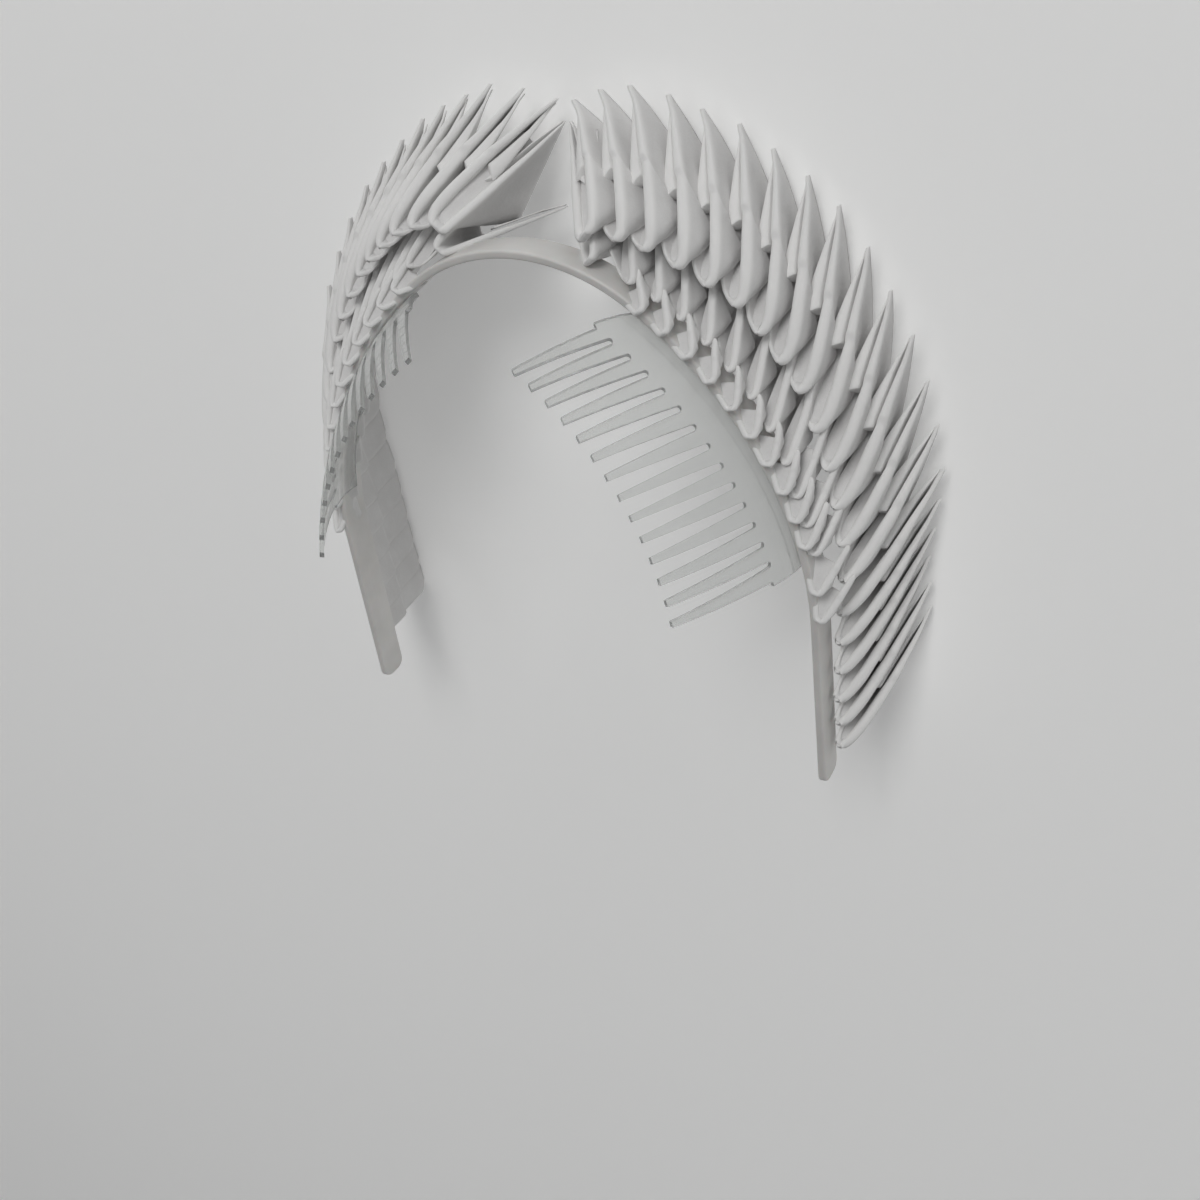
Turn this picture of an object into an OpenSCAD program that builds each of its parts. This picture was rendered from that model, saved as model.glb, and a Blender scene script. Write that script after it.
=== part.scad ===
// Origami headpiece: a plastic headband, two side combs and two fan wings of folded paper units.
// The shapes are worked out as the headpiece is worn, with X across the head, Y from the back of the
// head to the face and Z up. The whole is then laid on its face, as it rests on a table, on the corners
// of two units of each wing.
// A wing is three rows of units. A unit has two pages that share a spine: the right page stands free
// and the left page is slipped into the pocket of the unit before it. Right and left are the wearer's.

/* [Headband] */
// Width of the flat band, back to front
band_width = 9; // [6:0.5:14]
// Thickness of the band
band_thick = 2.2; // [1.5:0.1:3]
// Inside radius of the band over the crown
crown_radius = 47.5; // [44:0.5:52]
// Half angle of the crown arc
crown_angle = 35; // [30:1:40]
// Inside radius of the band at the sides
shoulder_radius = 98; // [92:1:104]
// Straight length of each leg
leg_length = 50; // [35:1:60]

/* [Combs] */
// Where a comb starts, measured along the band from the crown
comb_start = 32; // [30:1:40]
// Where a comb ends, measured along the band from the crown
comb_end = 106; // [90:1:115]
// Thickness of a comb
comb_thick = 1.2; // [1:0.1:2]
// Width of the comb's flat bar under the band
comb_bar = 6; // [4:0.5:8]
// Teeth on each comb
comb_teeth = 14; // [8:1:16]
// Length behind the band of the tooth nearest the crown
tooth_first = 28.5; // [22:0.5:36]
// Length behind the band of the lowest tooth
tooth_last = 37; // [24:0.5:40]
// Width of a tooth at its tip
tooth_tip = 1.3; // [1:0.1:2]
// Width of the slots between the teeth where they start
slot_width = 1.5; // [1:0.1:2]

/* [Paper units] */
// Long edge of an outer page, from its folded bottom to its tip
outer_leaf = 43.6; // [40:0.2:45]
// Long edge of a middle page
middle_leaf = 30.8; // [28:0.2:32]
// Thickness of an outer page, with its folded layers
outer_page = 2.4; // [2.2:0.1:2.5]
// Thickness of a middle page
middle_page = 1.9; // [1.8:0.1:2]
// Thickness of an inner page
inner_page = 1.2; // [1:0.1:1.3]

/* [Hidden] */
$fn = 96;
PAPER = "whitesmoke";
PLASTIC = "white";
CLEAR = "lightblue";
// The wearer's sides
RIGHT = 1;
LEFT = -1;
// Far enough for a cutter to pass through what it cuts
THROUGH = 60;

// Sections of the outer row: unit number, arc along the band from the crown, rise off the band,
// distance in front of the band's back edge, lean to the face, turn to the crown, roll of the page
OUTER_STATIONS = [
    [0, 17.5, 8.5, 1, 72, 33, 26],
    [2, 28, 11, 2.5, 66, 38, 31],
    [5, 48, 12, 8, 63, 40, 35],
    [8, 69, 10.5, 8.5, 58, 39, 41],
    [11, 95, 6.5, 6.5, 55, 40, 39],
    [14, 122, 2.6, 5.3, 59.5, 38, 38],
    [17, 148, 1.7, 4, 63.5, 39, 32],
    [19, 163, 1.7, 4, 63.5, 37, 34]
];
// Sections of the middle row: unit number, arc, rise, distance in front, open length of the page's edge
MIDDLE_STATIONS = [
    [0, 19.5, 3, 1, 14],
    [1, 29, 3, 1, 12],
    [3, 42, 3, 2.8, 17.5],
    [6, 64.5, 3, 3, 15],
    [9, 88.5, 2.2, 1, 8],
    [11, 103, 1.7, 0, 3.6]
];
// Sections of the inner row: unit number, arc, rise, distance in front, long edge of the page
INNER_STATIONS = [
    [0, 34.5, 1.1, -1, 6.5],
    [1, 41.5, 1.1, -1, 7.5],
    [3, 56, 1.1, -1, 8.3],
    [5, 71, 1.1, -1, 7.3],
    [8, 93, 1.1, -1, 5.6],
    [9, 100, 1.1, -1, 5],
    [10, 112.5, 1.1, -1, 9],
    [11, 120, 1.1, -1, 9]
];
// Columns of the sections
ARC = 1;
RISE = 2;
FRONT = 3;
LEAN = 4;
TURN = 5;
ROLL = 6;
OPEN = 4;
// Units in a wing's outer row, and in each of its lower rows
OUTER_COUNT = 20;
ROW_COUNT = 12;

// A row's kind: long edge of a page, thickness of a page, thickness of a slip, clearance round a slip
OUTER = [outer_leaf, outer_page, 1, 0.25];
MIDDLE = [middle_leaf, middle_page, 0.9, 0.15];
// Columns of a row's kind
LEAF = 0;
PAGE = 1;
SLIP = 2;
CLEARANCE = 3;
// Share of a page's long edge that a pocket reaches to
POCKET_SHARE = 0.9;
// Length of the strip along a spine, as a share of the page's long edge
STRIP_SHARE = 0.62;
// How far a slip runs back over its strip
SLIP_OVERLAP = 1;
// How far a slip ends short of its page's open length, and of its pocket's end
OPEN_MARGIN = 2;
END_MARGIN = 3;
// Opening angle between a unit's pages where the left one is free
OUTER_OPENING = 8;
MIDDLE_OPENING = 42;
INNER_OPENING = 28;
// Length of an inner unit's left page, as a share of its right page
INNER_FREE_SHARE = 0.92;
// How far a free page's bottom stands up the spine from the other page's
FREE_STEP = 0.2;
// Long edge of the outer row's free page, which ends short of the other wing's
OUTER_FREE_LEAF = 35.8;

// Cut corners of a leg's end
LEG_CORNER = 2.5;
// Flats that make up the band's curve on each side
BAND_STEPS = 48;
// Length that is wider and higher than the whole band
BAND_SPAN = 400;

// The comb's sheet bends inward from this distance behind the band, over this length, through this angle,
// and goes on at this radius
COMB_BEND_START = -1.5;
COMB_BEND_LENGTH = 7;
COMB_BEND = 20;
COMB_RADIUS = 105;
// Flats that make up the sheet, and the distance behind the band that it reaches before its teeth are cut
COMB_STEPS = 12;
COMB_REACH = 39;
// The sheet starts this angle nearer the crown than the shoulder does, as its first teeth lean there
COMB_LEAD = 8;
// The outermost teeth stand this far in from the comb's ends
COMB_MARGIN = 3;
// How far the first and the last tooth lean to the crown, as a slope
TOOTH_SLOPE_FIRST = 0.444;
TOOTH_SLOPE_LAST = 0.078;
// Where the slots start behind the band, and how far they run on past the teeth
SLOT_START = 9;
SLOT_OVERRUN = 4;
// Length and width of what is cut away past a tooth's tip
TIP_CUT = [15, 6];
// Gap between the band and a comb
SEAT_GAP = 0.3;
// Outer unit of each wing that rests on the table nearest the crown
CROWN_REST = 8;

crown_arc = crown_radius * crown_angle * PI / 180;
shoulder_arc = shoulder_radius * (90 - crown_angle) * PI / 180;

function unit_vector(v) = v / norm(v);
function value(stations, k, c) = lookup(k, [for (row = stations) [row[0], row[c]]]);

// Angle from upright of the band's outward normal at an arc length from the crown
function band_angle(arc) =
    arc < crown_arc ? arc / crown_radius * 180 / PI :
    arc < crown_arc + shoulder_arc ? crown_angle + (arc - crown_arc) / shoulder_radius * 180 / PI : 90;
function band_normal(arc) = [sin(band_angle(arc)), 0, cos(band_angle(arc))];
function to_crown(arc) = [-cos(band_angle(arc)), 0, sin(band_angle(arc))];
crown_centre = [0, 0, (shoulder_radius - crown_radius) * cos(crown_angle)];
shoulder_centre = crown_centre - (shoulder_radius - crown_radius) * band_normal(crown_arc);
// Point on the band's inner face
function band_inner(arc) =
    arc < crown_arc ? crown_centre + crown_radius * band_normal(arc) :
    shoulder_centre + shoulder_radius * band_normal(arc) - [0, 0, max(0, arc - crown_arc - shoulder_arc)];

// A page's frame: its bottom point, the direction to its tip and the direction of its depth
function page_frame(arc, rise, front, lean, turn, roll) =
    let (
        out = band_normal(arc),
        up = to_crown(arc),
        tip = out * cos(lean) * cos(turn) + up * sin(turn) + [0, sin(lean) * cos(turn), 0],
        depth = unit_vector(tip * (tip * up) - up)
    )
    [
        band_inner(arc) + out * (band_thick + rise) + [0, front, 0],
        tip,
        depth * cos(roll) + cross(tip, depth) * sin(roll)
    ];
function outer_frame(k) = page_frame(
    value(OUTER_STATIONS, k, ARC), value(OUTER_STATIONS, k, RISE), value(OUTER_STATIONS, k, FRONT),
    value(OUTER_STATIONS, k, LEAN), value(OUTER_STATIONS, k, TURN), value(OUTER_STATIONS, k, ROLL));
// A lower unit is turned as the outer row is at the same arc
function outer_number(arc) = lookup(arc, [for (row = OUTER_STATIONS) [row[ARC], row[0]]]);
function lower_frame(stations, m) =
    let (arc = value(stations, m, ARC), k = outer_number(arc))
    page_frame(arc, value(stations, m, RISE), value(stations, m, FRONT),
        value(OUTER_STATIONS, k, LEAN), value(OUTER_STATIONS, k, TURN), value(OUTER_STATIONS, k, ROLL));
function spine(frame) = unit_vector(frame[1] + frame[2]);
function facing(frame) = cross(frame[1], frame[2]);
// How deep a point lies in a page, square to its long edge
function depth_in(frame, p) = (p - frame[0]) * frame[2];

// Puts what is drawn flat into a page's frame
module in_frame(frame) {
    x = frame[1];
    y = frame[2];
    z = facing(frame);
    o = frame[0];
    multmatrix([
        [x[0], y[0], z[0], o[0]],
        [x[1], y[1], z[1], o[1]],
        [x[2], y[2], z[2], o[2]]
    ]) children();
}

module plate(frame, outline, thick) {
    in_frame(frame) linear_extrude(thick, center = true) polygon(outline);
}

// Right page: a right-angled triangle whose long edge runs to the tip, cut short at its open length
module page(frame, kind, open) {
    leaf = kind[LEAF];
    outline = open < leaf
        ? [[0, 0], [open, 0], [(leaf + open) / 2, (leaf - open) / 2], [leaf / 2, leaf / 2]]
        : [[0, 0], [leaf, 0], [leaf / 2, leaf / 2]];
    plate(frame, outline, kind[PAGE]);
}

// Left page: a strip from the spine to the mouth of the unit before, and a slip in its pocket
module left_page(frame, before, kind, open, grow = 0) {
    thick = kind[SLIP] + 2 * grow;
    mouth = depth_in(before, frame[0]);
    s = spine(frame);
    b = spine(before);
    middle = frame[0] + s * kind[LEAF] * STRIP_SHARE / 2;
    meet = before[0] + b * ((middle - before[0]) * b);
    across = (meet - middle) - s * ((meet - middle) * s);
    width = norm(across);
    start = kind[SLIP] / 2 - grow;
    end = kind[LEAF] * STRIP_SHARE + grow;
    strip = [[start - grow, start], [end, start], [end, width + grow], [width - grow, width + grow]];
    plate([frame[0], s, unit_vector(across)], strip, thick);
    low = mouth - grow;
    back = SLIP_OVERLAP + 2 * grow;
    top = kind[LEAF] * POCKET_SHARE + grow * sqrt(2);
    reach = min(open - OPEN_MARGIN, top - 2 * mouth - END_MARGIN) + grow * sqrt(2);
    slip = [
        [low - back, low],
        [low + reach, low],
        [(top + reach) / 2, (top - reach) / 2],
        [(top - back) / 2, (top + back) / 2]
    ];
    plate(before, slip, thick);
}

// Free left page, opened about the spine
module free_page(frame, leaf, thick, opening) {
    s = spine(frame);
    w = unit_vector(frame[1] - frame[2]) * cos(opening) + facing(frame) * sin(opening);
    turned = [frame[0] + FREE_STEP * s, unit_vector(s + w), unit_vector(s - w)];
    plate(turned, [[0, 0], [leaf, 0], [leaf / 2, leaf / 2]], thick);
}

module outer_unit(k) {
    frame = outer_frame(k);
    difference() {
        union() {
            page(frame, OUTER, outer_leaf);
            if (k > 0) left_page(frame, outer_frame(k - 1), OUTER, outer_leaf);
            if (k == 0) free_page(frame, OUTER_FREE_LEAF, outer_page, OUTER_OPENING);
        }
        if (k < OUTER_COUNT - 1) left_page(outer_frame(k + 1), frame, OUTER, outer_leaf, OUTER[CLEARANCE]);
    }
}

function middle_frame(m) = lower_frame(MIDDLE_STATIONS, m);
module middle_unit(m) {
    frame = middle_frame(m);
    open = value(MIDDLE_STATIONS, m, OPEN);
    difference() {
        union() {
            page(frame, MIDDLE, open);
            if (m > 0) left_page(frame, middle_frame(m - 1), MIDDLE, value(MIDDLE_STATIONS, m - 1, OPEN));
            if (m == 0) free_page(frame, middle_leaf, middle_page, MIDDLE_OPENING);
        }
        if (m < ROW_COUNT - 1) left_page(middle_frame(m + 1), frame, MIDDLE, open, MIDDLE[CLEARANCE]);
    }
}

module middle_row() {
    for (m = [0 : ROW_COUNT - 1]) middle_unit(m);
}

// The inner row's pages are short: they end where the middle row's units cover them
module inner_row() {
    for (n = [0 : ROW_COUNT - 1]) {
        frame = lower_frame(INNER_STATIONS, n);
        leaf = value(INNER_STATIONS, n, OPEN);
        plate(frame, [[0, 0], [leaf, 0], [leaf / 2, leaf / 2]], inner_page);
        free_page(frame, leaf * INNER_FREE_SHARE, inner_page, INNER_OPENING);
    }
}

// Turns a section, drawn as distance and width, into an arc of the band's curve
module arc_piece(centre, from, to) {
    translate(centre)
        multmatrix([[0, 1, 0, 0], [0, 0, 1, 0], [1, 0, 0, 0]])
            rotate([0, 0, from])
                rotate_extrude(angle = to - from) children();
}

// A rectangle with the corners at its start cut
function cut_start(w, h, c) = [[c, 0], [w - c, 0], [w, c], [w, h], [0, h], [0, c]];

// Points of the band's curve at a distance from its inner face, from the left leg's end to the right leg's
leg_foot = crown_arc + shoulder_arc + leg_length;
band_arcs = [
    for (q = [0 : BAND_STEPS]) q / BAND_STEPS * (crown_arc + shoulder_arc),
    leg_foot
];
function curve_point(arc, off) =
    let (p = band_inner(arc) + off * band_normal(arc))
    [p[0], p[2]];
function half_curve(off) = [for (arc = band_arcs) curve_point(arc, off)];
function mirrored(points) = [for (i = [len(points) - 1 : -1 : 1]) [-points[i][0], points[i][1]]];
function whole_curve(off) = concat(mirrored(half_curve(off)), half_curve(off));
function backwards(points) = [for (i = [len(points) - 1 : -1 : 0]) points[i]];

// The arch in one piece, with the corners of the legs' ends cut
module band() {
    intersection() {
        translate([0, band_width, 0]) rotate([90, 0, 0]) linear_extrude(band_width)
            polygon(concat(whole_curve(0), backwards(whole_curve(band_thick))));
        translate([-BAND_SPAN / 2, 0, -leg_length]) rotate([90, 0, 90]) linear_extrude(BAND_SPAN)
            polygon(cut_start(band_width, BAND_SPAN, LEG_CORNER));
    }
}

// Slope of the comb's sheet at a distance behind the band's back edge
function comb_slope(u) =
    COMB_BEND * min(1, max(0, (u - COMB_BEND_START) / COMB_BEND_LENGTH))
    + max(0, u - COMB_BEND_START - COMB_BEND_LENGTH) / COMB_RADIUS * 180 / PI;
comb_step = (COMB_REACH - COMB_BEND_START) / COMB_STEPS;
// Stations of the sheet: distance along it, distance behind the band's back edge, drop below the band
comb_path = [
    for (i = 0, back = COMB_BEND_START, drop = 0; i <= COMB_STEPS;
         back = back + comb_step * cos(comb_slope(COMB_BEND_START + (i + 0.5) * comb_step)),
         drop = drop + comb_step * sin(comb_slope(COMB_BEND_START + (i + 0.5) * comb_step)),
         i = i + 1)
        [COMB_BEND_START + i * comb_step, back, drop]
];
comb_top = shoulder_radius - SEAT_GAP - comb_thick / 2;

// Point beside a station of the sheet, at a distance outward from its middle
function comb_edge(p, off) =
    [comb_top - p[2] + off * cos(comb_slope(p[0])), -p[1] - off * sin(comb_slope(p[0]))];

// The sheet's section, as distance from the shoulder's axis and distance in front of the band's back edge
module comb_section() {
    front = comb_bar + COMB_BEND_START;
    half = comb_thick / 2;
    outer = [for (p = comb_path) comb_edge(p, half)];
    inner = [for (i = [COMB_STEPS : -1 : 0]) comb_edge(comb_path[i], -half)];
    polygon(concat([[comb_top - half, front], [comb_top + half, front]], outer, inner));
}

function mix(from, to, q) = from + (to - from) * q / (comb_teeth - 1);
function tooth_length(q) = mix(tooth_first, tooth_last, q);
// Point of the sheet on tooth q at a distance behind the band's back edge
function comb_point(q, u) =
    let (
        arc = mix(comb_start + COMB_MARGIN, comb_end - COMB_MARGIN, q),
        r = comb_top - lookup(u, [for (p = comb_path) [p[0], p[2]]]),
        angle = band_angle(arc) - mix(TOOTH_SLOPE_FIRST, TOOTH_SLOPE_LAST, q) * u / r * 180 / PI
    )
    shoulder_centre + [r * sin(angle), -lookup(u, [for (p = comb_path) [p[0], p[1]]]), r * cos(angle)];
// Frame of tooth q: its start, the direction to its tip and the direction away from the crown
function tooth_frame(q) =
    let (
        from = comb_point(q, SLOT_START),
        tip = comb_point(q, tooth_length(q)),
        along = unit_vector(tip - from),
        out = from + tip - 2 * shoulder_centre,
        side = unit_vector(cross([out[0], 0, out[2]], along))
    )
    [from, along, side];
function tooth_run(q) = norm(comb_point(q, tooth_length(q)) - comb_point(q, SLOT_START));
function pitch(q, u) = (comb_point(q + 0.5, u) - comb_point(q - 0.5, u)) * tooth_frame(q)[2];

// Slot between two teeth, round at its start and wider at the tips
module slot_outline(q) {
    run = tooth_run(q) + SLOT_OVERRUN;
    tip = pitch(q, tooth_length(q)) - tooth_tip;
    circle(slot_width / 2);
    polygon([[0, -slot_width / 2], [run, -tip / 2], [run, tip / 2], [0, slot_width / 2]]);
}

// What is cut away beside an outermost tooth and the bar's end
module end_outline(q) {
    run = tooth_run(q);
    root = pitch(q, SLOT_START) - slot_width;
    polygon([[-THROUGH, COMB_MARGIN], [0, COMB_MARGIN], [0, root / 2], [run, tooth_tip / 2],
             [THROUGH, tooth_tip / 2], [THROUGH, THROUGH], [-THROUGH, THROUGH]]);
}

module comb() {
    last = comb_teeth - 1;
    difference() {
        arc_piece(shoulder_centre, crown_angle - COMB_LEAD, band_angle(comb_end + COMB_MARGIN))
            comb_section();
        for (k = [0 : last - 1]) in_frame(tooth_frame(k + 0.5)) cutter() slot_outline(k + 0.5);
        for (k = [0 : last]) in_frame(tooth_frame(k)) cutter() translate([tooth_run(k), -TIP_CUT[1] / 2])
            square(TIP_CUT);
        in_frame(tooth_frame(0)) cutter() mirror([0, 1]) end_outline(0);
        in_frame(tooth_frame(last)) cutter() end_outline(last);
    }
}

module cutter() {
    linear_extrude(THROUGH, center = true) children();
}

module on_side(side) {
    if (side == RIGHT) children();
    else mirror([1, 0, 0]) children();
}

// Lays the worn headpiece on its face, tilts it onto its lowest corners and sets it centred on the table
module at_rest() {
    translate([0, centre, lift])
        rotate([tilt, 0, 0])
            multmatrix([[-1, 0, 0, 0], [0, 0, -1, 0], [0, -1, 0, 0]])
                children();
}

// Direction or point of the worn headpiece once it is laid on its face
function laid(p) = [-p[0], -p[2], -p[1]];
// The corner between a unit's two pages, on the side that is laid down
function low_corner(k) =
    let (frame = outer_frame(k))
    laid(frame[0] + outer_leaf / 2 * (frame[1] + frame[2]) + outer_page / 2 * facing(frame));
// The headpiece rests on the corners of two units of each wing
crown_rest = low_corner(CROWN_REST);
leg_rest = low_corner(OUTER_COUNT - 1);
tilt = -atan((crown_rest[2] - leg_rest[2]) / (crown_rest[1] - leg_rest[1]));
lift = -(crown_rest[1] * sin(tilt) + crown_rest[2] * cos(tilt));

// Place along the table of a point of the worn headpiece, before it is centred
function along_table(p) = laid(p)[1] * cos(tilt) - laid(p)[2] * sin(tilt);
crown_end = min([for (k = [0 : OUTER_COUNT - 1], side = [-1, 1]) let (frame = outer_frame(k))
    along_table(frame[0] + outer_leaf * frame[1] + side * outer_page / 2 * facing(frame))]);
leg_end = along_table([0, LEG_CORNER, -leg_length]);
centre = -(crown_end + leg_end) / 2;

module headband() { color(PLASTIC) at_rest() band(); }
module comb_right() { color(CLEAR) at_rest() on_side(RIGHT) comb(); }
module comb_left() { color(CLEAR) at_rest() on_side(LEFT) comb(); }
module outer_right_00() { color(PAPER) at_rest() on_side(RIGHT) outer_unit(0); }
module outer_right_01() { color(PAPER) at_rest() on_side(RIGHT) outer_unit(1); }
module outer_right_02() { color(PAPER) at_rest() on_side(RIGHT) outer_unit(2); }
module outer_right_03() { color(PAPER) at_rest() on_side(RIGHT) outer_unit(3); }
module outer_right_04() { color(PAPER) at_rest() on_side(RIGHT) outer_unit(4); }
module outer_right_05() { color(PAPER) at_rest() on_side(RIGHT) outer_unit(5); }
module outer_right_06() { color(PAPER) at_rest() on_side(RIGHT) outer_unit(6); }
module outer_right_07() { color(PAPER) at_rest() on_side(RIGHT) outer_unit(7); }
module outer_right_08() { color(PAPER) at_rest() on_side(RIGHT) outer_unit(8); }
module outer_right_09() { color(PAPER) at_rest() on_side(RIGHT) outer_unit(9); }
module outer_right_10() { color(PAPER) at_rest() on_side(RIGHT) outer_unit(10); }
module outer_right_11() { color(PAPER) at_rest() on_side(RIGHT) outer_unit(11); }
module outer_right_12() { color(PAPER) at_rest() on_side(RIGHT) outer_unit(12); }
module outer_right_13() { color(PAPER) at_rest() on_side(RIGHT) outer_unit(13); }
module outer_right_14() { color(PAPER) at_rest() on_side(RIGHT) outer_unit(14); }
module outer_right_15() { color(PAPER) at_rest() on_side(RIGHT) outer_unit(15); }
module outer_right_16() { color(PAPER) at_rest() on_side(RIGHT) outer_unit(16); }
module outer_right_17() { color(PAPER) at_rest() on_side(RIGHT) outer_unit(17); }
module outer_right_18() { color(PAPER) at_rest() on_side(RIGHT) outer_unit(18); }
module outer_right_19() { color(PAPER) at_rest() on_side(RIGHT) outer_unit(19); }
module outer_left_00() { color(PAPER) at_rest() on_side(LEFT) outer_unit(0); }
module outer_left_01() { color(PAPER) at_rest() on_side(LEFT) outer_unit(1); }
module outer_left_02() { color(PAPER) at_rest() on_side(LEFT) outer_unit(2); }
module outer_left_03() { color(PAPER) at_rest() on_side(LEFT) outer_unit(3); }
module outer_left_04() { color(PAPER) at_rest() on_side(LEFT) outer_unit(4); }
module outer_left_05() { color(PAPER) at_rest() on_side(LEFT) outer_unit(5); }
module outer_left_06() { color(PAPER) at_rest() on_side(LEFT) outer_unit(6); }
module outer_left_07() { color(PAPER) at_rest() on_side(LEFT) outer_unit(7); }
module outer_left_08() { color(PAPER) at_rest() on_side(LEFT) outer_unit(8); }
module outer_left_09() { color(PAPER) at_rest() on_side(LEFT) outer_unit(9); }
module outer_left_10() { color(PAPER) at_rest() on_side(LEFT) outer_unit(10); }
module outer_left_11() { color(PAPER) at_rest() on_side(LEFT) outer_unit(11); }
module outer_left_12() { color(PAPER) at_rest() on_side(LEFT) outer_unit(12); }
module outer_left_13() { color(PAPER) at_rest() on_side(LEFT) outer_unit(13); }
module outer_left_14() { color(PAPER) at_rest() on_side(LEFT) outer_unit(14); }
module outer_left_15() { color(PAPER) at_rest() on_side(LEFT) outer_unit(15); }
module outer_left_16() { color(PAPER) at_rest() on_side(LEFT) outer_unit(16); }
module outer_left_17() { color(PAPER) at_rest() on_side(LEFT) outer_unit(17); }
module outer_left_18() { color(PAPER) at_rest() on_side(LEFT) outer_unit(18); }
module outer_left_19() { color(PAPER) at_rest() on_side(LEFT) outer_unit(19); }
module middle_right() { color(PAPER) at_rest() on_side(RIGHT) middle_row(); }
module middle_left() { color(PAPER) at_rest() on_side(LEFT) middle_row(); }
module inner_right() { color(PAPER) at_rest() on_side(RIGHT) inner_row(); }
module inner_left() { color(PAPER) at_rest() on_side(LEFT) inner_row(); }

headband();
comb_right();
comb_left();
outer_right_00();
outer_right_01();
outer_right_02();
outer_right_03();
outer_right_04();
outer_right_05();
outer_right_06();
outer_right_07();
outer_right_08();
outer_right_09();
outer_right_10();
outer_right_11();
outer_right_12();
outer_right_13();
outer_right_14();
outer_right_15();
outer_right_16();
outer_right_17();
outer_right_18();
outer_right_19();
outer_left_00();
outer_left_01();
outer_left_02();
outer_left_03();
outer_left_04();
outer_left_05();
outer_left_06();
outer_left_07();
outer_left_08();
outer_left_09();
outer_left_10();
outer_left_11();
outer_left_12();
outer_left_13();
outer_left_14();
outer_left_15();
outer_left_16();
outer_left_17();
outer_left_18();
outer_left_19();
middle_right();
middle_left();
inner_right();
inner_left();
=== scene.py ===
"""Looks of the origami headpiece: folded paper units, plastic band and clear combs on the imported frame."""
import bisect
import math
import random

import bpy
from mathutils import Matrix, Vector


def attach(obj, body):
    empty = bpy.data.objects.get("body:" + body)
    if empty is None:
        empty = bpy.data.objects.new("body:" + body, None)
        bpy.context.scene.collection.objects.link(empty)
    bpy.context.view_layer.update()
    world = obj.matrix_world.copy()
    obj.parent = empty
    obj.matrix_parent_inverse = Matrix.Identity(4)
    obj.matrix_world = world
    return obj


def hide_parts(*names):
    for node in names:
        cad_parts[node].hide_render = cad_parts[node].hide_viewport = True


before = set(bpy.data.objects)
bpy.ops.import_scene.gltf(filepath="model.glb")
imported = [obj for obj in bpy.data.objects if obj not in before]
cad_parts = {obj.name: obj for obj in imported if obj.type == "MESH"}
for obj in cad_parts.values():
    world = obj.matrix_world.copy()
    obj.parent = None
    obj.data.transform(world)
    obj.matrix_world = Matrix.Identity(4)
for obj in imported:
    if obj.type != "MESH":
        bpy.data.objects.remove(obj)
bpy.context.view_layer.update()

MM = 0.001
RIGHT = 1
LEFT = -1

# The headpiece is worked out as it is worn, in mm: X across the head, -Y to its back, Z up.
# TILT, ALONG and LIFT lay it on its face as the CAD source does.
TILT = math.radians(-2.52955)
ALONG = 35.268
LIFT = 36.5986
LAID = Matrix(((-1, 0, 0), (0, 0, -1), (0, -1, 0)))
REST = Matrix.Rotation(TILT, 3, "X") @ LAID


def to_rest(p):
    """Point of the worn headpiece in mm to the row frame in metres."""
    return (REST @ Vector(p) + Vector((0, ALONG, LIFT))) * MM


# Camera

# Solved from the photo: angles in the worn frame, distance in mm, focal length and centre in pixels
CAMERA_AZIMUTH = math.radians(34.06)
CAMERA_ELEVATION = math.radians(33.0)
CAMERA_ROLL = math.radians(-9.42)
CAMERA_DISTANCE = 373.4
CAMERA_FOCAL = 1416.0
CAMERA_CENTRE = (561.2, 580.4)
PHOTO_SIZE = 1200.0
SENSOR = 36.0
CLIP_START = 0.01


def camera_axes():
    """Right, up and back of the camera in the worn frame."""
    a, e, r = CAMERA_AZIMUTH, CAMERA_ELEVATION, CAMERA_ROLL
    back = Vector((math.sin(a) * math.cos(e), -math.cos(a) * math.cos(e), math.sin(e)))
    right = Vector((math.cos(a), math.sin(a), 0))
    up = back.cross(right)
    return (
        right * math.cos(r) + up * math.sin(r),
        up * math.cos(r) - right * math.sin(r),
        back,
    )


def make_camera():
    right, up, back = (REST @ axis for axis in camera_axes())
    data = bpy.data.cameras.new("camera")
    data.sensor_width = SENSOR
    data.sensor_fit = "HORIZONTAL"
    data.lens = CAMERA_FOCAL / PHOTO_SIZE * SENSOR
    data.shift_x = (PHOTO_SIZE / 2 - CAMERA_CENTRE[0]) / PHOTO_SIZE
    data.shift_y = (CAMERA_CENTRE[1] - PHOTO_SIZE / 2) / PHOTO_SIZE
    data.clip_start = CLIP_START
    camera = bpy.data.objects.new("camera", data)
    bpy.context.scene.collection.objects.link(camera)
    place = Matrix((right, up, back)).transposed().to_4x4()
    place.translation = to_rest(camera_axes()[2] * CAMERA_DISTANCE)
    camera.matrix_world = place
    bpy.context.scene.camera = camera


make_camera()


# Materials

NOISE_ROUGHNESS = 0.6
# The part of a noise's range that a ramp's colours span
RAMP_START = 0.3
RAMP_END = 0.7


def new_material(name, base, roughness):
    material = bpy.data.materials.new(name)
    material.use_nodes = True
    shader = material.node_tree.nodes["Principled BSDF"]
    shader.inputs["Base Color"].default_value = (*base, 1)
    shader.inputs["Roughness"].default_value = roughness
    return material, shader


def add_node(tree, kind, **values):
    """A node with its inputs' values, and its settings where it has no such input."""
    node = tree.nodes.new(kind)
    for key, value in values.items():
        if key in node.inputs:
            node.inputs[key].default_value = value
        else:
            setattr(node, key, value)
    return node


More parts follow.
